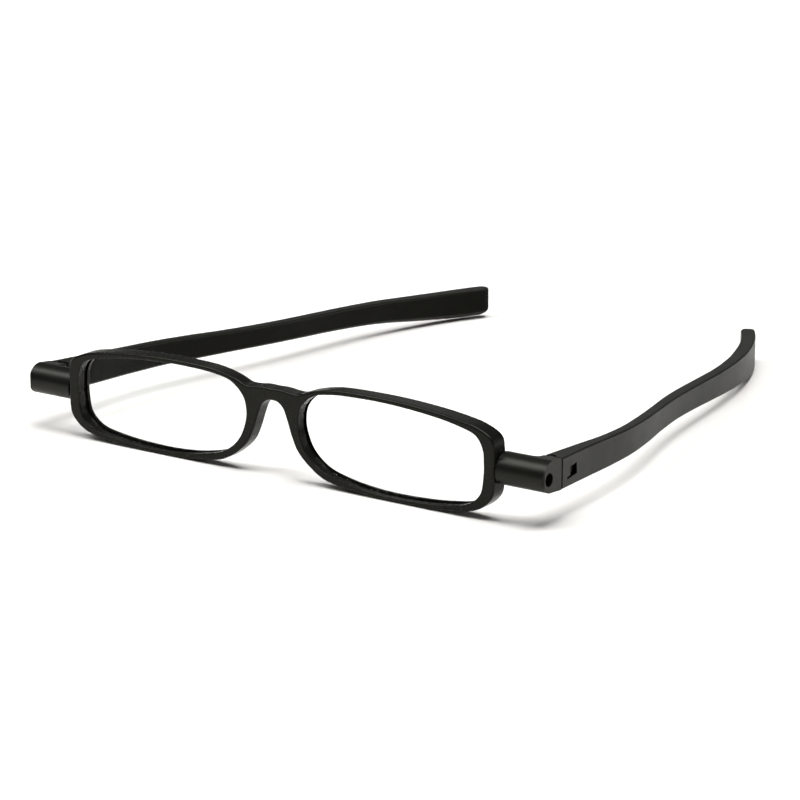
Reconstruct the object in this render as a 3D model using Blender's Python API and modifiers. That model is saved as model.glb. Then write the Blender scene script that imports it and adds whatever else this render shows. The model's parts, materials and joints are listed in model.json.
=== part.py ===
"""Folding reading glasses: one moulded front, two lenses, and on each side a swivel block, a fold hinge and a temple.

The glasses stand open on a flat surface, resting on the undersides of the rims and the tips of the temples.
Origin at the middle of the footprint, +Z up, the front faces -Y, the temples run towards +Y.
Lengths in the tables are millimetres: x from the middle, y back from the front face, z up from the surface.
"""

import math

import bmesh
import bpy
from mathutils import Matrix, Vector

MM = 0.001

# Front: 48 wide lens openings, 14 apart
FRONT_Y = -74.2           # where the front face stands, so that the footprint is centred on the origin
BRIDGE_DEPTH = 3.6        # the front is thinner at the bridge than at its ends
RIM_DEPTH = 4.5
BRIDGE_HALF = 5.0         # from here outward the back face tapers
FRONT_ROUND = 0.5
BACK_ROUND = 0.3
LENS_GROOVE = 0.55        # how far the lens edge goes into the rim
LENS_CENTRE = (30.6, 11.3)
LENS_THICK = 2.0
LENS_R_FRONT = 200.0
LENS_R_BACK = 600.0

# Swivel: the block turns on a metal axle in the side of the front, on an axis along X
SWIVEL_Y, SWIVEL_Z = 2.35, 10.9
BLOCK_IN, BLOCK_OUT = 57.5, 69.2
AXLE_R = 1.35
AXLE_END = 62.0
HEAD_BORE_R = 1.46
WEB = (62.4, 63.6)        # the wall that the screw head clamps

# Fold hinge: an upright pin that leans forward, so that a closed arm drops and passes under the other hinge
PIN_X, PIN_Y, PIN_Z = 65.9, 7.6, 10.8
PIN_LEAN = 3.0
PIN_R = 0.5
EAR_R = 1.35
EAR_CLEAR = 1.68
SLOT = (-1.75, 1.75)      # along the pin, from PIN_Z
SEAM_Y = 7.5
SEAM_GAP = 0.5
LEFT_SPLAY = 0.6          # the left arm stands this much further open, in degrees

# Snap window in the outer face of each temple, measured from the pin: y range, z range
WINDOW = (3.9, 7.0, -1.9, 0.5)
WINDOW_SKIN = 2.25        # from here outward the temple has only its thin skin
BARB_OUT = 1.7

# Temple stations: y, outer face x, top z, bottom z, thickness
TEMPLE = (
    (7.65, 69.2, 14.3, 7.5, 4.7),
    (20.0, 67.9, 13.6, 6.8, 3.4),
    (31.0, 67.0, 12.9, 6.3, 2.6),
    (42.0, 65.9, 12.25, 6.0, 2.6),
    (53.0, 63.9, 11.6, 5.8, 2.8),
    (63.0, 61.5, 11.0, 5.55, 2.8),
    (74.0, 59.1, 10.5, 5.1, 3.0),
    (85.0, 57.3, 10.0, 4.5, 3.1),
    (96.0, 55.8, 9.55, 3.85, 3.05),
    (106.0, 54.3, 9.15, 3.15, 3.05),
    (117.0, 52.1, 8.7, 2.3, 3.3),
    (127.0, 49.2, 8.2, 1.2, 3.6),
    (136.0, 45.9, 7.95, 0.35, 3.6),
    (143.0, 42.6, 7.95, 0.0, 3.6),
    (150.0, 38.5, 8.0, 0.2, 3.5),
)
TIP_FROM = 146.9          # the rounded tip starts here
TIP_LONG = 1.6
TIP_ROUND = 0.9

# Half outline of the front, from the top of the bridge round the rim to the nose arch: x, z
FRONT_HALF = (
    (0.0, 20.15), (2.6, 20.2), (4.8, 19.95), (7.2, 19.9), (10.6, 21.1), (16.3, 22.25), (26.4, 22.55),
    (36.0, 22.25), (46.3, 21.25), (53.2, 19.85), (56.6, 17.9), (57.2, 15.5), (57.2, 11.0), (57.2, 7.6),
    (56.6, 5.2), (53.9, 2.55), (49.7, 1.05), (44.9, 0.4), (38.7, 0.0), (31.5, 0.0), (24.4, 0.15),
    (18.5, 0.8), (13.3, 2.0), (9.3, 4.5), (6.7, 7.1), (5.15, 10.2), (3.95, 13.6), (2.85, 16.1),
    (1.5, 17.2), (0.0, 17.45),
)
# Lens opening: x, z
OPENING = (
    (30.0, 21.5), (40.0, 20.8), (48.0, 19.6), (52.6, 18.1), (54.25, 15.6), (54.6, 12.6), (54.5, 9.2),
    (53.7, 5.6), (50.7, 3.0), (44.5, 1.7), (35.1, 1.05), (26.5, 1.2), (19.0, 2.2), (13.2, 3.9),
    (9.4, 6.9), (7.6, 10.3), (6.95, 13.6), (7.7, 17.0), (10.9, 20.0), (15.6, 21.1), (22.3, 21.5),
)


def clear_scene():
    for obj in list(bpy.data.objects):
        bpy.data.objects.remove(obj, do_unlink=True)


def collection(name):
    made = bpy.data.collections.new(name)
    bpy.context.scene.collection.children.link(made)
    return made


def material(name, colour, roughness, metallic=0.0, transmission=0.0):
    made = bpy.data.materials.new(name)
    made.use_nodes = True
    shader = made.node_tree.nodes["Principled BSDF"]
    shader.inputs["Base Color"].default_value = (*colour, 1.0)
    shader.inputs["Roughness"].default_value = roughness
    shader.inputs["Metallic"].default_value = metallic
    shader.inputs["Transmission Weight"].default_value = transmission
    return made


def closed_spline(points, per_span):
    """Points along a closed Catmull-Rom curve through the given ones."""
    n, out = len(points), []
    for i in range(n):
        p0, p1, p2, p3 = (Vector(points[(i + k) % n]) for k in (-1, 0, 1, 2))
        d01, d12, d23 = ((b - a).length ** 0.5 for a, b in ((p0, p1), (p1, p2), (p2, p3)))
        m1 = (p1 - p0) / d01 - (p2 - p0) / (d01 + d12) + (p2 - p1) / d12
        m2 = (p2 - p1) / d12 - (p3 - p1) / (d12 + d23) + (p3 - p2) / d23
        m1, m2 = m1 * d12, m2 * d12
        for k in range(per_span):
            t = k / per_span
            out.append(p1 * (2 * t**3 - 3 * t**2 + 1) + m1 * (t**3 - 2 * t**2 + t)
                       + p2 * (3 * t**2 - 2 * t**3) + m2 * (t**3 - t**2))
    return out


def station(y):
    """The temple's outer x, top z, bottom z and thickness at a depth y, on a smooth curve through TEMPLE."""
    rows = TEMPLE
    i = max(k for k in range(len(rows) - 1) if rows[k][0] <= y + 1e-9)
    y1, y2 = rows[i][0], rows[i + 1][0]
    t, width = (y - y1) / (y2 - y1), y2 - y1
    out = []
    for c in range(1, 5):
        def slope(k):
            a, b = max(k - 1, 0), min(k + 1, len(rows) - 1)
            return (rows[b][c] - rows[a][c]) / (rows[b][0] - rows[a][0])
        p1, p2, m1, m2 = rows[i][c], rows[i + 1][c], slope(i) * width, slope(i + 1) * width
        out.append(p1 * (2 * t**3 - 3 * t**2 + 1) + m1 * (t**3 - 2 * t**2 + t)
                   + p2 * (3 * t**2 - 2 * t**3) + m2 * (t**3 - t**2))
    return out


def world(x, y, z):
    return Vector((x * MM, (FRONT_Y + y) * MM, z * MM))


def finish(bm, name, into, mat=None, cutter=False, origin=None, sharp=40):
    """Makes an object from the bmesh, whose points are in world metres, with its origin at the given point."""
    bmesh.ops.recalc_face_normals(bm, faces=bm.faces[:])
    if origin is not None:
        bmesh.ops.translate(bm, verts=bm.verts[:], vec=-origin)
    mesh = bpy.data.meshes.new(name)
    bm.to_mesh(mesh)
    bm.free()
    mesh.shade_smooth()
    mesh.set_sharp_from_angle(angle=math.radians(sharp))
    obj = bpy.data.objects.new(name, mesh)
    into.objects.link(obj)
    if origin is not None:
        obj.location = origin
    if mat:
        mesh.materials.append(mat)
    if cutter:
        obj.hide_render = True
        obj.display_type = "WIRE"
    return obj


def plate(points, y0, y1):
    """A flat outline in the XZ plane, from depth y0 to y1."""
    bm = bmesh.new()
    face = bm.faces.new([bm.verts.new(world(p[0], y0, p[1])) for p in points])
    moved = bmesh.ops.extrude_face_region(bm, geom=[face])["geom"]
    bmesh.ops.translate(bm, verts=[g for g in moved if isinstance(g, bmesh.types.BMVert)],
                        vec=(0, (y1 - y0) * MM, 0))
    return bm


def rings(sections):
    """A solid through a row of rings that have the same number of points, with its two ends closed."""
    bm = bmesh.new()
    made = [[bm.verts.new(p) for p in ring] for ring in sections]
    n = len(made[0])
    for a, b in zip(made, made[1:]):
        for i in range(n):
            bm.faces.new((a[i], a[(i + 1) % n], b[(i + 1) % n], b[i]))
    bm.faces.new(made[0][::-1])
    bm.faces.new(made[-1])
    return bm


def cylinder(radius, low, high, matrix, segments=32, radius2=None):
    """A bmesh cylinder or cone along the matrix's Z, from low to high, in millimetres."""
    bm = bmesh.new()
    bmesh.ops.create_cone(bm, cap_ends=True, segments=segments, radius1=radius * MM,
                          radius2=(radius if radius2 is None else radius2) * MM, depth=(high - low) * MM)
    bmesh.ops.transform(bm, matrix=matrix @ Matrix.Translation((0, 0, (low + high) / 2 * MM)), verts=bm.verts[:])
    return bm


def box(x0, x1, y0, y1, z0, z1, matrix=None):
    bm = bmesh.new()
    bmesh.ops.create_cube(bm, size=1.0)
    size = Matrix.Diagonal(((x1 - x0) * MM, (y1 - y0) * MM, (z1 - z0) * MM, 1))
    middle = Vector(((x0 + x1) / 2, (y0 + y1) / 2, (z0 + z1) / 2)) * MM
    place = matrix if matrix is not None else Matrix.Translation((0, FRONT_Y * MM, 0))
    bmesh.ops.transform(bm, matrix=place @ Matrix.Translation(middle) @ size, verts=bm.verts[:])
    return bm


def boolean(obj, other, operation="DIFFERENCE"):
    made = obj.modifiers.new(operation.title() + "_" + other.name, "BOOLEAN")
    made.object = other
    made.operation = operation
    made.solver = "EXACT"


def turned(profile, name, matrix, into, mat=None, cutter=False, steps=32):
    """A profile of (radius, along) points, outer side from top to bottom, turned about the matrix's Z."""
    mesh = bpy.data.meshes.new(name)
    mesh.from_pydata([(r * MM, 0, a * MM) for r, a in profile], [(i, i + 1) for i in range(len(profile) - 1)], [])
    obj = bpy.data.objects.new(name, mesh)
    into.objects.link(obj)
    obj.matrix_world = matrix
    screw = obj.modifiers.new("Turn", "SCREW")
    screw.axis = "Z"
    screw.steps = screw.render_steps = steps
    screw.use_merge_vertices = True
    screw.merge_threshold = 0.00001
    if mat:
        mesh.materials.append(mat)
    if cutter:
        obj.hide_render = True
        obj.display_type = "WIRE"
    return obj


def swivel_matrix(side):
    """Z runs outward along the swivel axis, from the middle of the glasses."""
    turn = Matrix.Rotation(math.radians(90 * side), 4, "Y")
    return Matrix.Translation(world(0, SWIVEL_Y, SWIVEL_Z)) @ turn


def pin_matrix(side):
    return (Matrix.Translation(world(side * PIN_X, PIN_Y, PIN_Z))
            @ Matrix.Rotation(math.radians(PIN_LEAN), 4, "X"))


def arm_matrix(side):
    """The pin's frame, turned with the arm as it stands."""
    return pin_matrix(side) @ Matrix.Rotation(math.radians(LEFT_SPLAY if side < 0 else 0.0), 4, "Z")


def lens_rings(side, grow, thicker):
    """Rings of a lens from the middle of its front face round its edge to the middle of its back face."""
    outline = [Vector(p) for p in closed_spline(OPENING, 3)]
    centre = Vector(LENS_CENTRE)
    n = len(outline)
    edge = []
    for i, p in enumerate(outline):
        along = (outline[(i + 1) % n] - outline[i - 1]).normalized()
        out = Vector((-along.y, along.x))
        if out.dot(p - centre) < 0:
            out = -out
        edge.append((p, out))
    middle = 2.05

    def surface(p, back):
        r2 = (p - centre).length_squared
        sag = r2 / (2 * (LENS_R_BACK if back else LENS_R_FRONT))
        base = middle - 1.15
        return base + sag + (LENS_THICK + thicker if back else -thicker)

    made = []
    for back in (False, True):
        shares = [0.25, 0.5, 0.75, 0.92] if not back else [0.92, 0.75, 0.5, 0.25]
        rows = []
        for share in shares:
            ring = []
            for p, out in edge:
                q = centre + (p - centre) * share
                ring.append(world(side * q.x, surface(q, back), q.y))
            rows.append(ring)
        rim = []
        for p, out in edge:
            q = p + out * (grow - 0.25)
            rim.append(world(side * q.x, surface(q, back), q.y))
        if back:
            tip = []
            for p, out in edge:
                q = p + out * grow
                y = (surface(q, False) + surface(q, True)) / 2
                tip.append(world(side * q.x, y, q.y))
            made += [tip, rim] + rows
        else:
            made += rows + [rim]
    return made


def make_front(parts, cutters, mats):
    half = list(FRONT_HALF)
    loop = half + [(-x, z) for x, z in half[-2:0:-1]]
    outline = [(p[0], max(p[1], 0.0)) for p in closed_spline(loop, 3)]
    bm = plate(outline, 0.0, BRIDGE_DEPTH)
    for depth, width, steps in ((0.0, FRONT_ROUND, 3), (BRIDGE_DEPTH, BACK_ROUND, 2)):
        edges = [e for e in bm.edges if all(abs(v.co.y - world(0, depth, 0).y) < 1e-6 for v in e.verts)]
        bmesh.ops.bevel(bm, geom=edges, offset=width * MM, segments=steps, profile=0.5, affect="EDGES")
    for x in (-BRIDGE_HALF, BRIDGE_HALF):
        bmesh.ops.bisect_plane(bm, geom=bm.verts[:] + bm.edges[:] + bm.faces[:], dist=1e-7,
                               plane_co=world(x, 0, 0), plane_no=(1, 0, 0))
    taper = (RIM_DEPTH - BRIDGE_DEPTH) / (BLOCK_IN - BRIDGE_HALF)
    for v in bm.verts:
        if v.co.y > world(0, BRIDGE_DEPTH / 2, 0).y:
            v.co.y += taper * max(0.0, abs(v.co.x) - BRIDGE_HALF * MM)
    front = finish(bm, "front_frame", parts, mats["black"], origin=world(0, 0, 0))
    for side, tag in ((1, "right"), (-1, "left")):
        opening = closed_spline([(side * x, z) for x, z in OPENING], 3)
        hole = finish(plate(opening, -1.0, RIM_DEPTH + 1.0), "opening_" + tag, cutters, cutter=True)
        boolean(front, hole)
        groove = finish(rings(lens_rings(side, LENS_GROOVE + 0.14, 0.14)), "groove_" + tag, cutters, cutter=True)
        boolean(front, groove)
        seat = finish(cylinder(0.95, 55.2, 58.0, swivel_matrix(side)), "axle_seat_" + tag, cutters, cutter=True)
        boolean(front, seat)
    return front


def make_lens(side, tag, parts, mats):
    bm = rings(lens_rings(side, LENS_GROOVE, 0.0))
    return finish(bm, "lens_" + tag, parts, mats["lens"], origin=world(side * LENS_CENTRE[0], 1.9, LENS_CENTRE[1]))


def make_axle(side, tag, parts, mats):
    """Metal axle: a stem in the side of the front, a shoulder that the block turns on, a threaded bore."""
    profile = [(0.0, AXLE_END - 4.6), (0.55, AXLE_END - 4.6), (0.55, AXLE_END), (1.15, AXLE_END),
               (AXLE_R, AXLE_END - 0.2), (AXLE_R, 57.55), (0.8, 57.55), (0.8, 55.5), (0.0, 55.5)]
    return turned(profile, "swivel_axle_" + tag, swivel_matrix(side), parts, mats["steel"], steps=28)


def make_screw(side, tag, parts, cutters, mats):
    profile = [(0.0, 65.5), (1.0, 65.5), (1.25, 65.25), (1.25, 64.3), (0.45, 64.3), (0.45, 58.6), (0.25, 58.2),
               (0.0, 58.2)]
    screw = turned(profile, "swivel_screw_" + tag, swivel_matrix(side), parts, mats["dark_steel"], steps=28)
    for i, (a, b) in enumerate(((0.8, 0.15), (0.15, 0.8))):
        slot = finish(box(-a, a, -b, b, 65.0, 66.0, swivel_matrix(side)), f"drive_{tag}_{i}", cutters, cutter=True)
        boolean(screw, slot)
    return screw


def make_washer(side, tag, parts, mats):
    """Wave washer under the screw head: its three waves press on the block and hold the temple where it is put."""
    rows, turns = [], 36
    place = swivel_matrix(side)
    for i in range(turns):
        a = 2 * math.pi * i / turns
        wave = 0.06 * math.cos(3 * a)
        ring = []
        for r, h in ((0.6, -0.07), (1.25, -0.07), (1.25, 0.07), (0.6, 0.07)):
            ring.append(place @ Vector((r * math.cos(a) * MM, r * math.sin(a) * MM, (63.95 + wave + h) * MM)))
        rows.append(ring)
    bm = bmesh.new()
    made = [[bm.verts.new(p) for p in ring] for ring in rows]
    for a, b in zip(made, made[1:] + made[:1]):
        for i in range(4):
            bm.faces.new((a[i], a[(i + 1) % 4], b[(i + 1) % 4], b[i]))
    return finish(bm, "wave_washer_" + tag, parts, mats["steel"], origin=place @ Vector((0, 0, 63.95 * MM)))


def arc(cx, cy, r, a0, a1, n):
    return [(cx + r * math.cos(math.radians(a0 + (a1 - a0) * i / n)),
             cy + r * math.sin(math.radians(a0 + (a1 - a0) * i / n))) for i in range(n + 1)]


def make_block(side, tag, parts, cutters, mats):
    """Swivel block: a barrel flush with the front, and a leg that turns back to the fold hinge."""
    leg_in = PIN_X - EAR_R + 0.35
    plan = [(BLOCK_IN, 0.0)]
    plan += arc(BLOCK_OUT - 0.7, 0.7, 0.7, -90, 0, 4)
    plan += [(BLOCK_OUT, SEAM_Y - SEAM_GAP / 2), (leg_in, SEAM_Y - SEAM_GAP / 2), (leg_in, 6.4)]
    plan += arc(leg_in - 1.6, 6.3, 1.6, 0, -90, 6)[1:]
    plan += [(BLOCK_IN, 4.7)]
    bm = bmesh.new()
    face = bm.faces.new([bm.verts.new(world(side * x, y, 5.0)) for x, y in plan])
    moved = bmesh.ops.extrude_face_region(bm, geom=[face])["geom"]
    bmesh.ops.translate(bm, verts=[g for g in moved if isinstance(g, bmesh.types.BMVert)], vec=(0, 0, 12 * MM))
    origin = world(side * BLOCK_IN, SWIVEL_Y, SWIVEL_Z)
    block = finish(bm, "swivel_block_" + tag, parts, mats["black"], origin=origin)

    # side profile, y and z: full rounding over the front, flat underneath, falling to the seam on top
    shape = arc(3.1, 11.0, 3.1, 180, 270, 7) + [(5.0, 7.75), (8.6, 7.4), (8.6, 14.2)]
    shape += arc(3.8, 11.0, 3.8, 90, 180, 8)[:-1]
    bm = bmesh.new()
    face = bm.faces.new([bm.verts.new(world(side * 50, y, z)) for y, z in shape])
    moved = bmesh.ops.extrude_face_region(bm, geom=[face])["geom"]
    bmesh.ops.translate(bm, verts=[g for g in moved if isinstance(g, bmesh.types.BMVert)], vec=(side * 30 * MM, 0, 0))
    keep = finish(bm, "block_profile_" + tag, cutters, cutter=True)
    boolean(block, keep, "INTERSECT")
    bevel = block.modifiers.new("Edges", "BEVEL")
    bevel.width = 0.22 * MM
    bevel.segments = 2
    bevel.limit_method = "ANGLE"
    bevel.angle_limit = math.radians(50)

    pin = pin_matrix(side)
    ears = finish(cylinder(EAR_R, -3.35, 3.2, pin, 32), "ears_" + tag, cutters, cutter=True)
    boolean(block, ears, "UNION")
    swivel = swivel_matrix(side)
    for name, r, low, high in (("bore", AXLE_R + 0.15, 50.0, WEB[0]), ("shank_hole", 0.75, 60.0, 66.0),
                               ("head_bore", HEAD_BORE_R, WEB[1], 72.0)):
        boolean(block, finish(cylinder(r, low, high, swivel, 36), f"{name}_{tag}", cutters, cutter=True))
    slot = box(-2.6, 2.2, -2.0, 3.0, SLOT[0], SLOT[1], pin)
    boolean(block, finish(slot, "slot_" + tag, cutters, cutter=True))
    hole = cylinder(PIN_R + 0.1, -2.95, 5.0, pin, 24)
    boolean(block, finish(hole, "pin_hole_" + tag, cutters, cutter=True))
    return block


def make_pin(side, tag, parts, mats):
    profile = [(0.0, 3.1), (0.36, 3.1), (PIN_R, 2.96), (PIN_R, -2.7), (0.4, -2.8), (0.0, -2.8)]
    return turned(profile, "hinge_pin_" + tag, pin_matrix(side), parts, mats["steel"], steps=24)


def make_tongue(side, tag, parts, cutters, mats):
    """Metal tongue of the temple: an eye round the pin, a blade in the temple's pocket and a barb in its window."""
    pin, arm = pin_matrix(side), arm_matrix(side)
    low_z, high_z = SLOT[0] + 0.25, SLOT[1] - 0.25
    tongue = finish(cylinder(1.3, low_z, high_z, pin, 32), "hinge_tongue_" + tag, parts, mats["dark_steel"])
    blade = box(-0.6 + 0.2 * side, 0.6 + 0.2 * side, 0.4, 9.2, low_z, high_z, arm)
    boolean(tongue, finish(blade, "blade_" + tag, cutters, cutter=True), "UNION")
    low, high = sorted((side * 0.5, side * BARB_OUT))
    barb = box(low, high, WINDOW[0] + 0.2, WINDOW[1] - 0.2, low_z - 0.1, WINDOW[3] - 0.2, arm)
    boolean(tongue, finish(barb, "barb_" + tag, cutters, cutter=True), "UNION")
    eye = cylinder(PIN_R + 0.12, -4.0, 4.0, pin, 24)
    boolean(tongue, finish(eye, "eye_" + tag, cutters, cutter=True))
    return tongue


def temple_ring(side, y, shrink=0.0):
    """Rounded section of the temple at depth y, square to its run; shrink pulls it in all round for the rounded tip."""
    x, top, bottom, thick = station(y)
    ahead, behind = station(min(y + 0.5, TEMPLE[-1][0])), station(max(y - 0.5, TEMPLE[0][0]))
    span = min(y + 0.5, TEMPLE[-1][0]) - max(y - 0.5, TEMPLE[0][0])
    lean = math.atan2(behind[0] - ahead[0], span)
    if y < 8.0:
        lean = 0.0
    inward = Vector((-math.cos(lean), -math.sin(lean)))
    w, h = thick / 2 - shrink, (top - bottom) / 2 - shrink * 0.6
    mid = Vector((x, y)) + inward * thick / 2
    zc = (top + bottom) / 2 + shrink * 0.45
    slant = 0.15 + 1.3 * max(0.0, (y - 60.0) / 88.0)
    ring = []
    for sx, sz, r in ((1, 1, 0.45), (-1, 1, 0.5), (-1, -1, 0.5), (1, -1, 0.35)):
        r = min(r, w * 0.9)
        start = {(1, 1): 0, (-1, 1): 90, (-1, -1): 180, (1, -1): 270}[(sx, sz)]
        for k in range(4):
            a = math.radians(start + 30 * k)
            u = sx * (w - r) + r * math.cos(a)
            v = sz * (h - r) + r * math.sin(a)
            if sz < 0:
                v += slant * (w - u) / (2 * w)
            p = mid - inward * u
            ring.append(world(side * p.x, p.y, zc + v))
    return ring


def make_temple(side, tag, parts, cutters, mats):
    sections = [temple_ring(side, SEAM_Y + SEAM_GAP / 2)]
    sections += [temple_ring(side, y) for y in (10.0, 13.0, 16.5)]
    y = 20.0
    while y < 144.5:
        sections.append(temple_ring(side, y))
        y += 4.0
    for k in range(6):
        a = math.radians(16 * k)
        sections.append(temple_ring(side, TIP_FROM + TIP_LONG * math.sin(a), shrink=TIP_ROUND * (1 - math.cos(a))))
    pin, arm = pin_matrix(side), arm_matrix(side)
    bm = rings(sections)
    bmesh.ops.transform(bm, matrix=arm @ pin.inverted(), verts=bm.verts[:])
    temple = finish(bm, "temple_" + tag, parts, mats["black"], origin=world(side * PIN_X, PIN_Y, PIN_Z))
    boolean(temple, finish(cylinder(EAR_CLEAR, -8.0, 8.0, pin, 40), "scoop_" + tag, cutters, cutter=True))
    y0, y1, z0, z1 = WINDOW
    for name, x0, x1, ya, yb, za, zb in (
        ("pocket", -0.75 + 0.2 * side, 0.75 + 0.2 * side, 1.0, 9.4, SLOT[0] + 0.1, SLOT[1] - 0.1),
        ("hollow", side * 0.4, side * WINDOW_SKIN, y0 - 0.2, y1 + 1.6, z0, z1),
        ("window", side * 0.5, side * 6.0, y0, y1, z0, z1),
        ("window_tail", side * 2.0, side * 6.0, y0 - 1.6, y0 + 0.3, z0, z0 + 0.55),
    ):
        cut = box(min(x0, x1), max(x0, x1), ya, yb, za, zb, arm)
        boolean(temple, finish(cut, f"{name}_{tag}", cutters, cutter=True))
    return temple


def main():
    clear_scene()
    parts, cutters = collection("folding_reading_glasses"), collection("cutters")
    mats = {
        "black": material("black_moulding", (0.018, 0.018, 0.016), 0.42),
        "lens": material("clear_lens", (1.0, 1.0, 1.0), 0.02, transmission=1.0),
        "steel": material("steel", (0.55, 0.55, 0.56), 0.28, metallic=1.0),
        "dark_steel": material("blackened_steel", (0.03, 0.03, 0.03), 0.4, metallic=1.0),
    }
    make_front(parts, cutters, mats)
    for side, tag in ((1, "right"), (-1, "left")):
        make_lens(side, tag, parts, mats)
        make_axle(side, tag, parts, mats)
        make_screw(side, tag, parts, cutters, mats)
        make_washer(side, tag, parts, mats)
        make_block(side, tag, parts, cutters, mats)
        make_pin(side, tag, parts, mats)
        make_tongue(side, tag, parts, cutters, mats)
        make_temple(side, tag, parts, cutters, mats)


main()
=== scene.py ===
"""Folding reading glasses: the looks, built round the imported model.

The front, the lenses, the swivel blocks and the temples are made again here with fine rounded edges. The
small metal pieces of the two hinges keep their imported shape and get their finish. Metres, +Z up; the tables
and the functions that read them are in millimetres: x from the middle, y back from the front face, z up from
the surface.
"""

import json
import math

import bmesh
import bpy
from mathutils import Matrix, Vector

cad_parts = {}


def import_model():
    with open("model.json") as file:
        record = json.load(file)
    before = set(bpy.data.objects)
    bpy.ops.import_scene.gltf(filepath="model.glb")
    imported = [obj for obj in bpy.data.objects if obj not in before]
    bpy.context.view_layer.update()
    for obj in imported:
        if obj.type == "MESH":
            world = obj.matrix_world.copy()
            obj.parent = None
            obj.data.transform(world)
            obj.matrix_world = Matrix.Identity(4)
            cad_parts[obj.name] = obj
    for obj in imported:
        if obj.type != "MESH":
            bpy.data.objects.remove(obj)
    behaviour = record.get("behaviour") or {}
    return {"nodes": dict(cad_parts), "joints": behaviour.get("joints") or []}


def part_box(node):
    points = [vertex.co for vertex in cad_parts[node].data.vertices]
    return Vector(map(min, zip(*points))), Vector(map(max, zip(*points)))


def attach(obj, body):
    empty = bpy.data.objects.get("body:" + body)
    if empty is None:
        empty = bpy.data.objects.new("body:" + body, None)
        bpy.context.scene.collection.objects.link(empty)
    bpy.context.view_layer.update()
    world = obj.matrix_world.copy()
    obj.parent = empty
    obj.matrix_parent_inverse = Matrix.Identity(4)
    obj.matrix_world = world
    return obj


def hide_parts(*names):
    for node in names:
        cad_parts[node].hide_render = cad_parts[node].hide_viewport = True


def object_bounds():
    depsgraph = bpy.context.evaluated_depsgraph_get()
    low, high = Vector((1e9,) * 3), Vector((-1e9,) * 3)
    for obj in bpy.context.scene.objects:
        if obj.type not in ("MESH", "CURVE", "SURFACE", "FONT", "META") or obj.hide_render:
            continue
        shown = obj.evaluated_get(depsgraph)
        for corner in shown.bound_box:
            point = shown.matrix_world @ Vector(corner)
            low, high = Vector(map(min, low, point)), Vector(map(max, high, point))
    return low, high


MM = 0.001
SIDES = (("right", 1), ("left", -1))

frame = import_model()
CAD_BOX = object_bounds()
JOINTS = {joint["name"]: joint for joint in frame["joints"]}

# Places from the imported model, in metres
FRONT_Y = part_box("front_frame")[0].y
SWIVEL = Vector(JOINTS["right_swivel"]["pos_m"])
PIN = Vector(JOINTS["right_fold"]["pos_m"])
PIN_AXIS = Vector(JOINTS["right_fold"]["axis"])

# Front
BRIDGE_DEPTH, RIM_DEPTH = 3.6, 4.5
BRIDGE_HALF = 5.0         # the back face starts to taper here
FRONT_ROUND, BACK_ROUND = 0.5, 0.3
LIP_ROUND = 0.22          # rounding of the edges of the lens openings
LENS_GROOVE = 0.55
GROOVE_CLEAR = 0.14
LENS_CENTRE = Vector((30.6, 11.3))
LENS_FRONT_Y, LENS_THICK = 0.9, 2.0
LENS_R_FRONT, LENS_R_BACK = 200.0, 600.0
LENS_BEVEL = 0.25         # the lens edge slants to a ridge over this width
LENS_RINGS = (0.08, 0.2, 0.35, 0.5, 0.64, 0.76, 0.86, 0.94)
FRONT_HALF = (
    (0.0, 20.15), (2.6, 20.2), (4.8, 19.95), (7.2, 19.9), (10.6, 21.1), (16.3, 22.25), (26.4, 22.55),
    (36.0, 22.25), (46.3, 21.25), (53.2, 19.85), (56.6, 17.9), (57.2, 15.5), (57.2, 11.0), (57.2, 7.6),
    (56.6, 5.2), (53.9, 2.55), (49.7, 1.05), (44.9, 0.4), (38.7, 0.0), (31.5, 0.0), (24.4, 0.15),
    (18.5, 0.8), (13.3, 2.0), (9.3, 4.5), (6.7, 7.1), (5.15, 10.2), (3.95, 13.6), (2.85, 16.1),
    (1.5, 17.2), (0.0, 17.45),
)
OPENING = (
    (30.0, 21.5), (40.0, 20.8), (48.0, 19.6), (52.6, 18.1), (54.25, 15.6), (54.6, 12.6), (54.5, 9.2),
    (53.7, 5.6), (50.7, 3.0), (44.5, 1.7), (35.1, 1.05), (26.5, 1.2), (19.0, 2.2), (13.2, 3.9),
    (9.4, 6.9), (7.6, 10.3), (6.95, 13.6), (7.7, 17.0), (10.9, 20.0), (15.6, 21.1), (22.3, 21.5),
)
SPAN = 8                  # points between two points of an outline

# Swivel block
BLOCK_IN, BLOCK_OUT = 57.5, 69.2
TAPER = (RIM_DEPTH - BRIDGE_DEPTH) / (BLOCK_IN - BRIDGE_HALF)
AXLE_R, HEAD_BORE_R, SHANK_R = 1.35, 1.46, 0.75
WEB = (62.4, 63.6)        # the wall that the screw head clamps
AXLE_SEAT = (0.95, 55.2, 58.0)
BLOCK_EDGE = 0.22
BLOCK_CORNER = 0.7        # rounding of the outer front corner, seen from above
BARREL_BACK = 4.7
LEG_CORNER = 1.6          # inside corner between the barrel and the leg
LEG_FROM = 6.4            # the leg's inner side is straight from here back
BARREL = (3.1, 11.0)      # radius of the barrel's lower front, height of its middle
BARREL_TOP = 3.8          # radius of its upper front
LEG_FOOT = ((5.0, 7.75), (8.6, 7.4), (8.6, 14.2))
SEAM_Y, SEAM_GAP = 7.5, 0.5
EAR_R, EAR_CLEAR = 1.35, 1.68
EAR_SPAN = (-3.35, 3.2)   # the two ears, along the pin
PIN_HOLE_R = 0.6
PIN_HOLE_FROM = -2.95     # the pin hole is blind below
SLOT = (-1.75, 1.75)      # the tongue's slot between the ears, along the pin
SLOT_PLAN = (-2.6, 2.2, -2.0, 3.0)
LEFT_SPLAY = 0.6          # the left arm stands this much further open, in degrees

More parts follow.
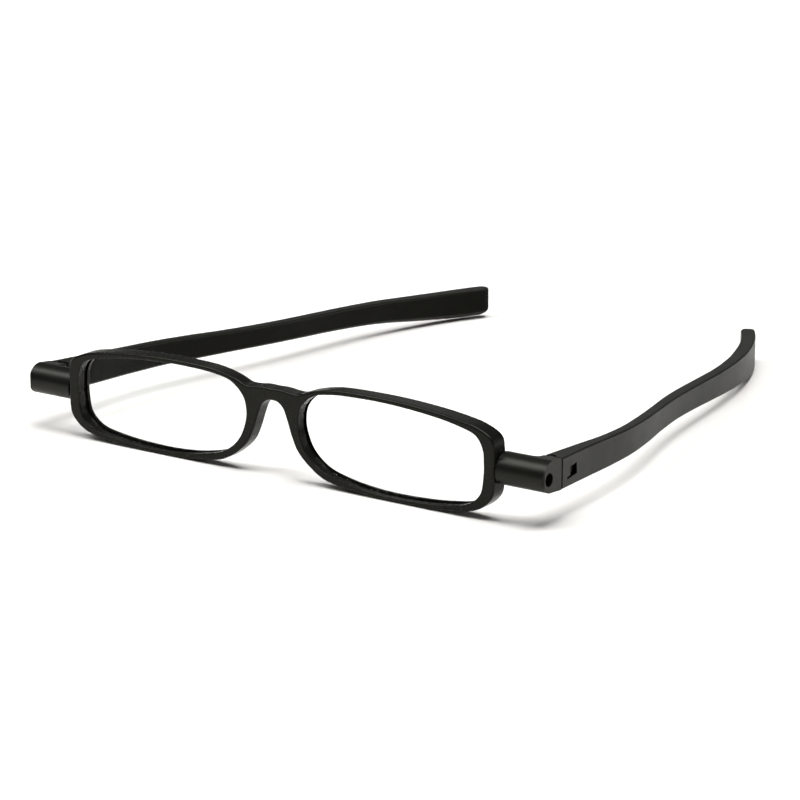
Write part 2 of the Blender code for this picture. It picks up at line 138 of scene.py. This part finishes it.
# The temple's window and the pocket behind it, from the fold pin
WINDOW = (3.9, 7.0, -1.9, 0.5)
WINDOW_SKIN = 2.25        # from here outward the temple has only its thin skin
TONGUE_HALF = 0.75        # half the width of the tongue's pocket
TONGUE_POCKET = (1.0, 9.4)
TAIL = (1.6, 0.55)        # the window's tail: its length towards the hinge, its height

# Temple stations: y, outer face x, top z, bottom z, thickness
TEMPLE = (
    (7.65, 69.2, 14.3, 7.5, 4.7),
    (20.0, 67.9, 13.6, 6.8, 3.4),
    (31.0, 67.0, 12.9, 6.3, 2.6),
    (42.0, 65.9, 12.25, 6.0, 2.6),
    (53.0, 63.9, 11.6, 5.8, 2.8),
    (63.0, 61.5, 11.0, 5.55, 2.8),
    (74.0, 59.1, 10.5, 5.1, 3.0),
    (85.0, 57.3, 10.0, 4.5, 3.1),
    (96.0, 55.8, 9.55, 3.85, 3.05),
    (106.0, 54.3, 9.15, 3.15, 3.05),
    (117.0, 52.1, 8.7, 2.3, 3.3),
    (127.0, 49.2, 8.2, 1.2, 3.6),
    (136.0, 45.9, 7.95, 0.35, 3.6),
    (143.0, 42.6, 7.95, 0.0, 3.6),
    (150.0, 38.5, 8.0, 0.2, 3.5),
)
# Corners of a temple section: outward or inward, up or down, radius, first angle
TEMPLE_CORNERS = ((1, 1, 0.45, 0), (-1, 1, 0.5, 90), (-1, -1, 0.5, 180), (1, -1, 0.35, 270))
RINGS_FROM, RINGS_APART, RINGS = 9.0, 1.2, 115
SLANT_NEAR, SLANT_MORE = 0.15, 1.3    # rise of the underside towards the inner face: first, then added
SLANT_FROM, SLANT_RUN = 60.0, 88.0    # where the added part starts, and the run over which it comes
TIP_FROM, TIP_LONG, TIP_ROUND = 146.9, 1.6, 0.9
PAINTED_SHADE_SLOT = 3                # the slot of the near-black painted shade in the window, the pocket and the hinge end

# Finishes: base colours, scale of the moulded grain and its height in metres
DEEP, OLIVE = (0.0038, 0.0038, 0.0031), (0.0052, 0.0052, 0.0042)
# the arms' outer face: lighter base colours than the rest of the plastic, painted light
PAINTED_LIGHT_ARM_DARK, PAINTED_LIGHT_ARM_LIGHT = (0.0045, 0.0045, 0.0042), (0.0060, 0.0060, 0.0056)
# near black for the window, the pocket and the hinge end: painted shade in the recesses
PAINTED_SHADE_DARK, PAINTED_SHADE_LIGHT = (0.0010, 0.0010, 0.0009), (0.0015, 0.0015, 0.0013)
GRAIN_SCALE, GRAIN_HEIGHT = 7000.0, 0.00002
LINE_HEIGHT = 0.00001     # of the tool lines on the metal
LENS_IOR = 1.06           # low, as the lenses have an anti-reflection finish

# Camera: place in metres from the foot of the front face, directions, focal length in millimetres
CAMERA_PLACE = (0.38324, -0.51353, 0.19736)
CAMERA_FORWARD = (-0.541724, 0.795904, -0.270317)
CAMERA_RIGHT = (0.826552, 0.562859, 0.000811)
CAMERA_LENS = 138.2

# Studio, in metres; each lamp: name, place, target, width, height, watts
LAMPS = (
    ("overhead", (0.15, -0.02, 0.9), (0, 0, 0), 0.7, 0.65, 11.5),
    ("left", (-0.46, -0.31, 0.75), (0, -0.05, 0), 0.5, 0.45, 5.6),
    ("side", (0.9, 0.7, 0.35), (0.05, 0.05, 0), 0.5, 0.4, 0.8),
    ("back", (-0.75, 1.45, 0.62), (0, 0.06, 0), 0.6, 0.4, 0.3),
)
WORLD_LIGHT = 0.08
FLOOR_GAP = 0.00002
SWEEP_FROM, SWEEP_TO, SWEEP_LIGHT = 0.08, 0.8, 1.05    # where the floor's own light rises, and its top


# ---------------------------------------------------------------- geometry helpers

def world(x, y, z):
    """World place of a point given in the glasses' own millimetres."""
    return Vector((x * MM, FRONT_Y + y * MM, z * MM))


def closed_spline(points, per_span):
    """Points along a closed Catmull-Rom curve through the given ones."""
    n, out = len(points), []
    for i in range(n):
        p0, p1, p2, p3 = (Vector(points[(i + k) % n]) for k in (-1, 0, 1, 2))
        d01, d12, d23 = ((b - a).length ** 0.5 for a, b in ((p0, p1), (p1, p2), (p2, p3)))
        m1 = (p1 - p0) / d01 - (p2 - p0) / (d01 + d12) + (p2 - p1) / d12
        m2 = (p2 - p1) / d12 - (p3 - p1) / (d12 + d23) + (p3 - p2) / d23
        m1, m2 = m1 * d12, m2 * d12
        for k in range(per_span):
            t = k / per_span
            out.append(p1 * (2 * t**3 - 3 * t**2 + 1) + m1 * (t**3 - 2 * t**2 + t)
                       + p2 * (3 * t**2 - 2 * t**3) + m2 * (t**3 - t**2))
    return out


def arc(cx, cy, r, a0, a1, n):
    """Points along an arc about (cx, cy) from angle a0 to a1, in degrees."""
    return [(cx + r * math.cos(math.radians(a0 + (a1 - a0) * i / n)),
             cy + r * math.sin(math.radians(a0 + (a1 - a0) * i / n))) for i in range(n + 1)]


def prism(points, shift):
    """A flat closed outline of world points, pushed along a world vector."""
    bm = bmesh.new()
    face = bm.faces.new([bm.verts.new(p) for p in points])
    moved = bmesh.ops.extrude_face_region(bm, geom=[face])["geom"]
    bmesh.ops.translate(bm, verts=[g for g in moved if isinstance(g, bmesh.types.BMVert)], vec=shift)
    return bm


def rings(sections):
    """A solid through a row of rings with the same number of points, closed at its two ends."""
    bm = bmesh.new()
    made = [[bm.verts.new(p) for p in ring] for ring in sections]
    n = len(made[0])
    for a, b in zip(made, made[1:]):
        for i in range(n):
            bm.faces.new((a[i], a[(i + 1) % n], b[(i + 1) % n], b[i]))
    bm.faces.new(made[0][::-1])
    bm.faces.new(made[-1])
    return bm


def cylinder(radius, low, high, matrix, segments=96):
    """A cylinder along the matrix's Z, from low to high, in millimetres."""
    bm = bmesh.new()
    bmesh.ops.create_cone(bm, cap_ends=True, segments=segments, radius1=radius * MM, radius2=radius * MM,
                          depth=(high - low) * MM)
    place = matrix @ Matrix.Translation((0, 0, (low + high) / 2 * MM))
    bmesh.ops.transform(bm, matrix=place, verts=bm.verts[:])
    return bm


def box(x0, x1, y0, y1, z0, z1, matrix, round_by=0.0):
    """A box in the matrix's frame, in millimetres, with its edges rounded if asked."""
    bm = bmesh.new()
    bmesh.ops.create_cube(bm, size=1.0)
    size = Matrix.Diagonal(((x1 - x0) * MM, (y1 - y0) * MM, (z1 - z0) * MM, 1))
    middle = Vector(((x0 + x1) / 2, (y0 + y1) / 2, (z0 + z1) / 2)) * MM
    bmesh.ops.transform(bm, matrix=Matrix.Translation(middle) @ size, verts=bm.verts[:])
    if round_by:
        bmesh.ops.bevel(bm, geom=bm.edges[:], offset=round_by * MM, segments=3, profile=0.5, affect="EDGES")
    bmesh.ops.transform(bm, matrix=matrix, verts=bm.verts[:])
    return bm


def make_object(bm, name):
    """A new object in the scene with this mesh, its faces turned outward."""
    bmesh.ops.recalc_face_normals(bm, faces=bm.faces[:])
    mesh = bpy.data.meshes.new(name)
    bm.to_mesh(mesh)
    bm.free()
    obj = bpy.data.objects.new(name, mesh)
    bpy.context.scene.collection.objects.link(obj)
    return obj


def boolean(obj, bm, operation="DIFFERENCE", slot=0):
    """Cuts, joins or intersects with a helper solid, which is used up; its faces take a slot of the piece."""
    for face in bm.faces:
        face.material_index = slot
    helper = make_object(bm, "helper")
    for mat in obj.data.materials:
        helper.data.materials.append(mat)
    made = obj.modifiers.new(operation.title(), "BOOLEAN")
    made.object, made.operation, made.solver = helper, operation, "EXACT"
    bake_modifiers(obj)
    bpy.data.objects.remove(helper)


def bevel(obj, width, segments):
    """Rounds every edge where two faces meet at more than 50 degrees."""
    made = obj.modifiers.new("Edges", "BEVEL")
    made.width = width * MM
    made.segments = segments
    made.limit_method = "ANGLE"
    made.angle_limit = math.radians(50)
    made.use_clamp_overlap = True
    bake_modifiers(obj)


def bake_modifiers(obj):
    """Turns the result of the modifiers into the piece's own mesh."""
    graph = bpy.context.evaluated_depsgraph_get()
    mesh = bpy.data.meshes.new_from_object(obj.evaluated_get(graph))
    obj.modifiers.clear()
    old, obj.data = obj.data, mesh
    bpy.data.meshes.remove(old)


def smooth(obj):
    """Smooth shading that keeps the flat faces flat and the true corners sharp."""
    obj.data.shade_smooth()
    obj.data.set_sharp_from_angle(angle=math.radians(32))
    weighted = obj.modifiers.new("Shading", "WEIGHTED_NORMAL")
    weighted.keep_sharp = True
    weighted.weight = 80
    return obj


def dress(obj, mat, body, slot, *nodes):
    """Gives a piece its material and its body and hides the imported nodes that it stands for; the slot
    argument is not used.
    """
    if mat:
        obj.data.materials.clear()
        obj.data.materials.append(mat)
    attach(obj, body)
    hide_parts(*nodes)
    return obj


# ---------------------------------------------------------------- the front and its lenses

def lens_surface(p, back):
    """Depth of the lens's front or back face at a point of the outline's plane."""
    r2 = (p - LENS_CENTRE).length_squared
    sag = r2 / (2 * (LENS_R_BACK if back else LENS_R_FRONT))
    return LENS_FRONT_Y + sag + (LENS_THICK if back else 0.0)


def opening_edge():
    """Each point of the lens opening's outline with its outward direction."""
    outline = [Vector(p) for p in closed_spline(OPENING, SPAN)]
    n, edge = len(outline), []
    for i, p in enumerate(outline):
        along = (outline[(i + 1) % n] - outline[i - 1]).normalized()
        out = Vector((-along.y, along.x))
        if out.dot(p - LENS_CENTRE) < 0:
            out = -out
        edge.append((p, out))
    return edge


def back_depth(x):
    """Depth of the front's back face, which tapers from the bridge to the ends."""
    return BRIDGE_DEPTH + TAPER * max(0.0, abs(x) - BRIDGE_HALF)


def opening_cutter(side):
    """The lens opening with rounded lips at the front and the back, and the groove that holds the lens."""
    steps = 5
    profile = [(LIP_ROUND, lambda p: -1.0)]    # how far a ring grows outward, and its depth
    for k in range(steps + 1):
        a = math.radians(90 * k / steps)
        profile.append((LIP_ROUND * (1 - math.sin(a)),
                        lambda p, a=a: LIP_ROUND * (1 - math.cos(a))))
    groove = LENS_GROOVE + GROOVE_CLEAR
    profile += [(0.0, lambda p: lens_surface(p, False) - GROOVE_CLEAR),
                (groove - 0.2, lambda p: lens_surface(p, False) - GROOVE_CLEAR),
                (groove, lambda p: lens_surface(p, False) + 0.3),
                (groove, lambda p: lens_surface(p, True) - 0.3),
                (groove - 0.2, lambda p: lens_surface(p, True) + GROOVE_CLEAR),
                (0.0, lambda p: lens_surface(p, True) + GROOVE_CLEAR)]
    for k in range(steps + 1):
        a = math.radians(90 * k / steps)
        profile.append((LIP_ROUND * (1 - math.cos(a)),
                        lambda p, a=a: max(back_depth(p.x) - LIP_ROUND * (1 - math.sin(a)),
                                           lens_surface(p, True) + GROOVE_CLEAR + 0.02 + 0.01 * a)))
    profile.append((LIP_ROUND, lambda p: RIM_DEPTH + 2.0))
    edge = opening_edge()
    return rings([[world(side * (p + out * grow).x, depth(p), (p + out * grow).y) for p, out in edge]
                  for grow, depth in profile])


def make_front(mat):
    """A plate with rounded edges, tapered behind from the bridge to the ends, with its openings."""
    loop = list(FRONT_HALF) + [(-x, z) for x, z in FRONT_HALF[-2:0:-1]]
    outline = [(x, max(z, 0.0)) for x, z in closed_spline(loop, SPAN)]
    bm = prism([world(x, 0.0, z) for x, z in outline], (0, BRIDGE_DEPTH * MM, 0))
    for depth, width, steps in ((0.0, FRONT_ROUND, 8), (BRIDGE_DEPTH, BACK_ROUND, 4)):
        edges = [e for e in bm.edges if all(abs(v.co.y - world(0, depth, 0).y) < 1e-6 for v in e.verts)]
        bmesh.ops.bevel(bm, geom=edges, offset=width * MM, segments=steps, profile=0.5, affect="EDGES")
    for x in (-BRIDGE_HALF, BRIDGE_HALF):
        bmesh.ops.bisect_plane(bm, geom=bm.verts[:] + bm.edges[:] + bm.faces[:], dist=1e-7,
                               plane_co=world(x, 0, 0), plane_no=(1, 0, 0))
    for v in bm.verts:
        if v.co.y > world(0, BRIDGE_DEPTH / 2, 0).y:
            v.co.y += (back_depth(v.co.x / MM) - BRIDGE_DEPTH) * MM
    front = make_object(bm, "front_moulding")
    for _, side in SIDES:
        boolean(front, opening_cutter(side))
        boolean(front, cylinder(*AXLE_SEAT, swivel_matrix(side)))
    return dress(smooth(front), mat, "front", "frame", "front_frame")


def make_lens(tag, side, mat):
    """A lens from the middle of its front face round its bevelled edge to the middle of its back face."""
    edge = opening_edge()
    sections = []
    for back in (False, True):
        rows = [[(LENS_CENTRE + (p - LENS_CENTRE) * share, back) for p, out in edge] for share in LENS_RINGS]
        rim = [(p + out * (LENS_GROOVE - LENS_BEVEL), back) for p, out in edge]
        sections += rows + [rim] if not back else [rim] + rows[::-1]
    made = [[world(side * q.x, lens_surface(q, back), q.y) for q, back in row] for row in sections]
    ridge = []
    for p, out in edge:
        q = p + out * LENS_GROOVE
        ridge.append(world(side * q.x, (lens_surface(q, False) + lens_surface(q, True)) / 2, q.y))
    made.insert(len(LENS_RINGS) + 1, ridge)
    lens = make_object(rings(made), "clear_lens_" + tag)
    lens.data.shade_smooth()
    lens.data.set_sharp_from_angle(angle=math.radians(30))
    return dress(lens, mat, "front", "lens", "lens_" + tag)


# ---------------------------------------------------------------- swivel blocks

def swivel_matrix(side):
    """Z runs outward along the swivel axis, from the middle of the glasses."""
    return Matrix.Translation((0, SWIVEL.y, SWIVEL.z)) @ Matrix.Rotation(math.radians(90 * side), 4, "Y")


def pin_matrix(side):
    """Z runs up the fold pin, which leans forward."""
    lean = math.atan2(-PIN_AXIS.y, PIN_AXIS.z)
    return Matrix.Translation((side * PIN.x, PIN.y, PIN.z)) @ Matrix.Rotation(lean, 4, "X")


def make_block(tag, side, mat):
    """A barrel flush with the front, rounded over its front, and a leg that turns back to the fold hinge."""
    leg_in = PIN.x / MM - EAR_R + 0.35
    end_y = SEAM_Y - SEAM_GAP / 2
    plan = [(BLOCK_IN, 0.0)]
    plan += arc(BLOCK_OUT - BLOCK_CORNER, BLOCK_CORNER, BLOCK_CORNER, -90, 0, 10)
    plan += [(BLOCK_OUT, end_y), (leg_in, end_y), (leg_in, LEG_FROM)]
    plan += arc(leg_in - LEG_CORNER, BARREL_BACK + LEG_CORNER, LEG_CORNER, 0, -90, 16)[1:]
    plan += [(BLOCK_IN, BARREL_BACK)]
    outline = [world(side * x, y, 5.0) for x, y in plan]
    block = make_object(prism(outline, (0, 0, 12 * MM)), "end_block_" + tag)
    low_r, middle = BARREL
    shape = arc(low_r, middle, low_r, 180, 270, 20) + list(LEG_FOOT)
    shape += arc(BARREL_TOP, middle, BARREL_TOP, 90, 180, 24)[:-1]
    section = [world(side * 50, y, z) for y, z in shape]
    boolean(block, prism(section, (side * 30 * MM, 0, 0)), "INTERSECT")
    bevel(block, BLOCK_EDGE, 4)
    pin, swivel = pin_matrix(side), swivel_matrix(side)
    boolean(block, cylinder(EAR_R, *EAR_SPAN, pin), "UNION")
    bores = ((AXLE_R + 0.15, 50.0, WEB[0]), (SHANK_R, 60.0, 66.0), (HEAD_BORE_R, WEB[1], 72.0))
    for radius, low, high in bores:
        boolean(block, cylinder(radius, low, high, swivel))
    boolean(block, box(*SLOT_PLAN, *SLOT, pin))
    boolean(block, cylinder(PIN_HOLE_R, PIN_HOLE_FROM, 5.0, pin, 48))
    return dress(smooth(block), mat, tag + "_block", "block", "swivel_block_" + tag)


# ---------------------------------------------------------------- temples

def station(y):
    """The temple's outer x, top z, bottom z and thickness at depth y, smoothly through the stations."""
    rows = TEMPLE
    i = max(k for k in range(len(rows) - 1) if rows[k][0] <= y + 1e-9)
    y1, y2 = rows[i][0], rows[i + 1][0]
    t, width = (y - y1) / (y2 - y1), y2 - y1
    out = []
    for c in range(1, 5):
        def slope(k):
            a, b = max(k - 1, 0), min(k + 1, len(rows) - 1)
            return (rows[b][c] - rows[a][c]) / (rows[b][0] - rows[a][0])
        p1, p2, m1, m2 = rows[i][c], rows[i + 1][c], slope(i) * width, slope(i + 1) * width
        out.append(p1 * (2 * t**3 - 3 * t**2 + 1) + m1 * (t**3 - 2 * t**2 + t)
                   + p2 * (3 * t**2 - 2 * t**3) + m2 * (t**3 - t**2))
    return out


def temple_ring(side, y, shrink=0.0):
    """Rounded section of the temple at depth y, square to its run; shrink pulls it in for the rounded tip."""
    first, last = TEMPLE[0][0], TEMPLE[-1][0]
    x, top, bottom, thick = station(y)
    ahead, behind = station(min(y + 0.5, last)), station(max(y - 0.5, first))
    lean = math.atan2(behind[0] - ahead[0], min(y + 0.5, last) - max(y - 0.5, first)) if y >= 8.0 else 0.0
    inward = Vector((-math.cos(lean), -math.sin(lean)))
    w, h = thick / 2 - shrink, (top - bottom) / 2 - shrink * 0.6
    mid = Vector((x, y)) + inward * thick / 2
    zc = (top + bottom) / 2 + shrink * 0.45
    slant = SLANT_NEAR + SLANT_MORE * max(0.0, (y - SLANT_FROM) / SLANT_RUN)
    ring = []
    for sx, sz, r, start in TEMPLE_CORNERS:
        r = min(r, w * 0.9)
        for k in range(7):
            a = math.radians(start + 15 * k)
            u = sx * (w - r) + r * math.cos(a)
            v = sz * (h - r) + r * math.sin(a)
            if sz < 0:
                v += slant * (w - u) / (2 * w)
            p = mid - inward * u
            ring.append(world(side * p.x, p.y, zc + v))
    return ring


def make_temple(tag, side, finishes):
    """An arm with a rounded tip, a scoop round the hinge, a pocket for the tongue and the window of its barb.

    finishes are the materials of the edges, the matt outer face with lighter base colours as painted light,
    the dull inner face as painted shade and the near-black hollows as painted shade.
    """
    sections = [temple_ring(side, SEAM_Y + SEAM_GAP / 2)]
    sections += [temple_ring(side, RINGS_FROM + RINGS_APART * k) for k in range(RINGS)]
    for k in range(11):
        a = math.radians(8 * k)
        y, shrink = TIP_FROM + TIP_LONG * math.sin(a), TIP_ROUND * (1 - math.cos(a))
        sections.append(temple_ring(side, y, shrink))
    pin = pin_matrix(side)
    arm = pin @ Matrix.Rotation(math.radians(LEFT_SPLAY if side < 0 else 0.0), 4, "Z")
    bm = rings(sections)
    around = len(sections[0])
    strips = {around - 1: 1, around // 2 - 1: 2}    # the flat outer face, with painted light, and the flat inner face, with painted shade
    for i, face in enumerate(bm.faces):
        # the hinge end takes the near-black painted shade
        hinge_end = len(face.verts) > 4 and face.calc_center_median().y < world(0, RINGS_FROM, 0).y
        face.material_index = PAINTED_SHADE_SLOT if hinge_end else strips.get(i % around, 0)
    bmesh.ops.transform(bm, matrix=arm @ pin.inverted(), verts=bm.verts[:])
    temple = make_object(bm, "arm_" + tag)
    for mat in finishes:
        temple.data.materials.append(mat)
    boolean(temple, cylinder(EAR_CLEAR, -8.0, 8.0, pin))
    y0, y1, z0, z1 = WINDOW
    middle = 0.2 * side
    pocket = (middle - TONGUE_HALF, middle + TONGUE_HALF, *TONGUE_POCKET, SLOT[0] + 0.1, SLOT[1] - 0.1, 0.0)
    barb_room = (side * 0.4, side * WINDOW_SKIN, y0 - 0.2, y1 + 1.6, z0, z1, 0.0)
    window = (side * 0.5, side * 6.0, y0, y1, z0, z1, 0.1)
    tail = (side * 2.0, side * 6.0, y0 - TAIL[0], y0 + 0.3, z0, z0 + TAIL[1], 0.0)
    # the faces of these cuts take the near-black painted shade
    for x0, x1, ya, yb, za, zb, round_by in (pocket, barb_room, window, tail):
        boolean(temple, box(min(x0, x1), max(x0, x1), ya, yb, za, zb, arm, round_by), slot=PAINTED_SHADE_SLOT)
    return dress(smooth(temple), None, tag + "_temple", "temple", "temple_" + tag)


# ---------------------------------------------------------------- materials

def new_material(name):
    """A material with its nodes and its links."""
    mat = bpy.data.materials.new(name)
    mat.use_nodes = True
    return mat, mat.node_tree.nodes, mat.node_tree.links


def noise(nodes, links, coords, scale, detail, roughness=0.5):
    """Noise from 0 to 1 over the coordinates."""
    made = nodes.new("ShaderNodeTexNoise")
    made.inputs["Scale"].default_value = scale
    made.inputs["Detail"].default_value = detail
    made.inputs["Roughness"].default_value = roughness
    links.new(coords, made.inputs["Vector"])
    return made.outputs["Fac"]


def spread(nodes, links, value, low, high, out_low, out_high):
    """Maps a value from one range to another."""
    made = nodes.new("ShaderNodeMapRange")
    for name, number in (("From Min", low), ("From Max", high), ("To Min", out_low), ("To Max", out_high)):
        made.inputs[name].default_value = number
    links.new(value, made.inputs["Value"])
    return made.outputs["Result"]


def moulding(name, dark, light, rough, gloss, grain):
    """Satin moulded plastic: a fine spark texture, a slow drift of tone and faint handling marks."""
    mat, nodes, links = new_material(name)
    shader = nodes["Principled BSDF"]
    coords = nodes.new("ShaderNodeTexCoord").outputs["Object"]
    drift = noise(nodes, links, coords, 90.0, 3.0)
    ramp = nodes.new("ShaderNodeMix")
    ramp.data_type = "RGBA"
    ramp.inputs["A"].default_value = (*dark, 1.0)
    ramp.inputs["B"].default_value = (*light, 1.0)
    links.new(spread(nodes, links, drift, 0.35, 0.65, 0.0, 1.0), ramp.inputs["Factor"])
    links.new(ramp.outputs["Result"], shader.inputs["Base Color"])
    smudge = noise(nodes, links, coords, 260.0, 4.0, 0.6)
    links.new(spread(nodes, links, smudge, 0.3, 0.7, rough - 0.02, rough + 0.02), shader.inputs["Roughness"])
    bump = nodes.new("ShaderNodeBump")
    bump.inputs["Strength"].default_value = grain
    bump.inputs["Distance"].default_value = GRAIN_HEIGHT
    links.new(noise(nodes, links, coords, GRAIN_SCALE, 3.0, 0.6), bump.inputs["Height"])
    links.new(bump.outputs["Normal"], shader.inputs["Normal"])
    shader.inputs["Specular IOR Level"].default_value = gloss
    shader.inputs["Specular Tint"].default_value = (1.0, 1.0, 0.87, 1.0)
    return mat


def metal(name, colour, rough, lines):
    """Turned metal with fine tool lines round the piece and a slight change of gloss."""
    mat, nodes, links = new_material(name)
    shader = nodes["Principled BSDF"]
    shader.inputs["Metallic"].default_value = 1.0
    coords = nodes.new("ShaderNodeTexCoord").outputs["Object"]
    stretch = nodes.new("ShaderNodeMapping")
    stretch.inputs["Scale"].default_value = lines
    links.new(coords, stretch.inputs["Vector"])
    grain = noise(nodes, links, stretch.outputs["Vector"], 1.0, 4.0, 0.6)
    tone = nodes.new("ShaderNodeMix")
    tone.data_type = "RGBA"
    tone.inputs["A"].default_value = (*[c * 0.8 for c in colour], 1.0)
    tone.inputs["B"].default_value = (*colour, 1.0)
    links.new(grain, tone.inputs["Factor"])
    links.new(tone.outputs["Result"], shader.inputs["Base Color"])
    links.new(spread(nodes, links, grain, 0.3, 0.7, rough - 0.06, rough + 0.08), shader.inputs["Roughness"])
    bump = nodes.new("ShaderNodeBump")
    bump.inputs["Strength"].default_value = 0.3
    bump.inputs["Distance"].default_value = LINE_HEIGHT
    links.new(grain, bump.inputs["Height"])
    links.new(bump.outputs["Normal"], shader.inputs["Normal"])
    return mat


def clear_plastic(name):
    """Clear polished plastic with an anti-reflection finish; it casts only a faint shadow."""
    mat, nodes, links = new_material(name)
    shader = nodes["Principled BSDF"]
    shader.inputs["Base Color"].default_value = (0.99, 1.0, 1.0, 1.0)
    shader.inputs["Transmission Weight"].default_value = 1.0
    shader.inputs["IOR"].default_value = LENS_IOR
    coords = nodes.new("ShaderNodeTexCoord").outputs["Object"]
    haze = noise(nodes, links, coords, 180.0, 3.0)
    links.new(spread(nodes, links, haze, 0.4, 0.8, 0.0, 0.02), shader.inputs["Roughness"])
    passing = nodes.new("ShaderNodeBsdfTransparent")
    passing.inputs["Color"].default_value = (0.97, 0.98, 0.98, 1.0)
    path = nodes.new("ShaderNodeLightPath")
    both = nodes.new("ShaderNodeMixShader")
    links.new(path.outputs["Is Shadow Ray"], both.inputs["Fac"])
    links.new(shader.outputs["BSDF"], both.inputs[1])
    links.new(passing.outputs["BSDF"], both.inputs[2])
    links.new(both.outputs["Shader"], nodes["Material Output"].inputs["Surface"])
    return mat


def floor_material():
    """Matt white, and lit more evenly away from the glasses, as a studio sweep is."""
    mat, nodes, links = new_material("pale_floor")
    shader = nodes["Principled BSDF"]
    shader.inputs["Base Color"].default_value = (0.81, 0.797, 0.77, 1.0)
    shader.inputs["Roughness"].default_value = 0.75
    shader.inputs["Specular IOR Level"].default_value = 0.1
    distance = nodes.new("ShaderNodeVectorMath")
    distance.operation = "LENGTH"
    links.new(nodes.new("ShaderNodeTexCoord").outputs["Object"], distance.inputs[0])
    shader.inputs["Emission Color"].default_value = (1.0, 1.0, 1.0, 1.0)
    sweep = spread(nodes, links, distance.outputs["Value"], SWEEP_FROM, SWEEP_TO, 0.0, SWEEP_LIGHT)
    links.new(sweep, shader.inputs["Emission Strength"])
    return mat


# ---------------------------------------------------------------- studio

def make_camera():
    """The photo's view: from the glasses' right-hand front, 16 degrees above the surface."""
    data = bpy.data.cameras.new("camera")
    data.lens, data.sensor_width = CAMERA_LENS, 36.0
    data.clip_start, data.clip_end = 0.01, 20.0
    camera = bpy.data.objects.new("camera", data)
    bpy.context.scene.collection.objects.link(camera)
    forward = Vector(CAMERA_FORWARD).normalized()
    right = Vector(CAMERA_RIGHT)
    right = (right - forward * right.dot(forward)).normalized()
    up = right.cross(forward)
    turn = Matrix((right, up, -forward)).transposed()
    place = Vector(CAMERA_PLACE) + Vector((0, FRONT_Y, 0))
    camera.matrix_world = Matrix.Translation(place) @ turn.to_4x4()
    bpy.context.scene.camera = camera


def area_light(name, place, target, width, height, watts):
    """A white rectangular lamp that faces its target."""
    data = bpy.data.lights.new(name, "AREA")
    data.shape, data.size, data.size_y = "RECTANGLE", width, height
    data.energy = watts
    lamp = bpy.data.objects.new(name, data)
    lamp.location = place
    lamp.rotation_mode = "QUATERNION"
    lamp.rotation_quaternion = (Vector(target) - Vector(place)).to_track_quat("-Z", "Y")
    bpy.context.scene.collection.objects.link(lamp)


def make_studio():
    """The floor, the soft lamps and the faint light all round."""
    bm = bmesh.new()
    bmesh.ops.create_grid(bm, x_segments=1, y_segments=1, size=4.0)
    floor = make_object(bm, "floor")
    floor.location = (0, 0, CAD_BOX[0].z - FLOOR_GAP)
    floor.data.materials.append(floor_material())
    scene_world = bpy.data.worlds.new("studio")
    bpy.context.scene.world = scene_world
    scene_world.use_nodes = True
    back = scene_world.node_tree.nodes["Background"]
    back.inputs["Color"].default_value = (1.0, 1.0, 1.0, 1.0)
    back.inputs["Strength"].default_value = WORLD_LIGHT
    for lamp in LAMPS:
        area_light(*lamp)
    bpy.context.scene.view_settings.view_transform = "Standard"


# ---------------------------------------------------------------- build

def main():
    rim = moulding("satin_black_rim", DEEP, OLIVE, 0.27, 0.12, 0.05)
    block = moulding("satin_black_block", DEEP, OLIVE, 0.33, 0.165, 0.25)
    arm_finishes = (moulding("satin_black_arm", DEEP, OLIVE, 0.36, 0.24, 0.25),
                    # the outer face: rougher, and lighter in base colour as painted light
                    moulding("matt_arm_outside_painted_light", PAINTED_LIGHT_ARM_DARK, PAINTED_LIGHT_ARM_LIGHT, 0.42, 0.145, 0.35),
                    # the inner face: the same plastic with almost no gloss, painted shade
                    moulding("dull_arm_inside_painted_shade", DEEP, OLIVE, 0.45, 0.05, 0.25),
                    # near black and without gloss: painted shade in the hollows
                    moulding("painted_shade_hollow", PAINTED_SHADE_DARK, PAINTED_SHADE_LIGHT, 0.6, 0.03, 0.25))
    steel = metal("turned_steel", (0.62, 0.61, 0.59), 0.28, (9000.0, 300.0, 9000.0))
    dark_steel = metal("blackened_steel", (0.035, 0.034, 0.033), 0.42, (6000.0, 300.0, 6000.0))
    clear = clear_plastic("clear_optical_plastic")
    make_front(rim)
    for tag, side in SIDES:
        make_lens(tag, side, clear)
        make_block(tag, side, block)
        make_temple(tag, side, arm_finishes)
        for node, mat in (("swivel_axle_", steel), ("wave_washer_", steel), ("hinge_pin_", steel),
                          ("swivel_screw_", dark_steel), ("hinge_tongue_", dark_steel)):
            metal_piece = frame["nodes"][node + tag]
            metal_piece.data.materials.clear()
            metal_piece.data.materials.append(mat)
    make_camera()
    make_studio()


main()
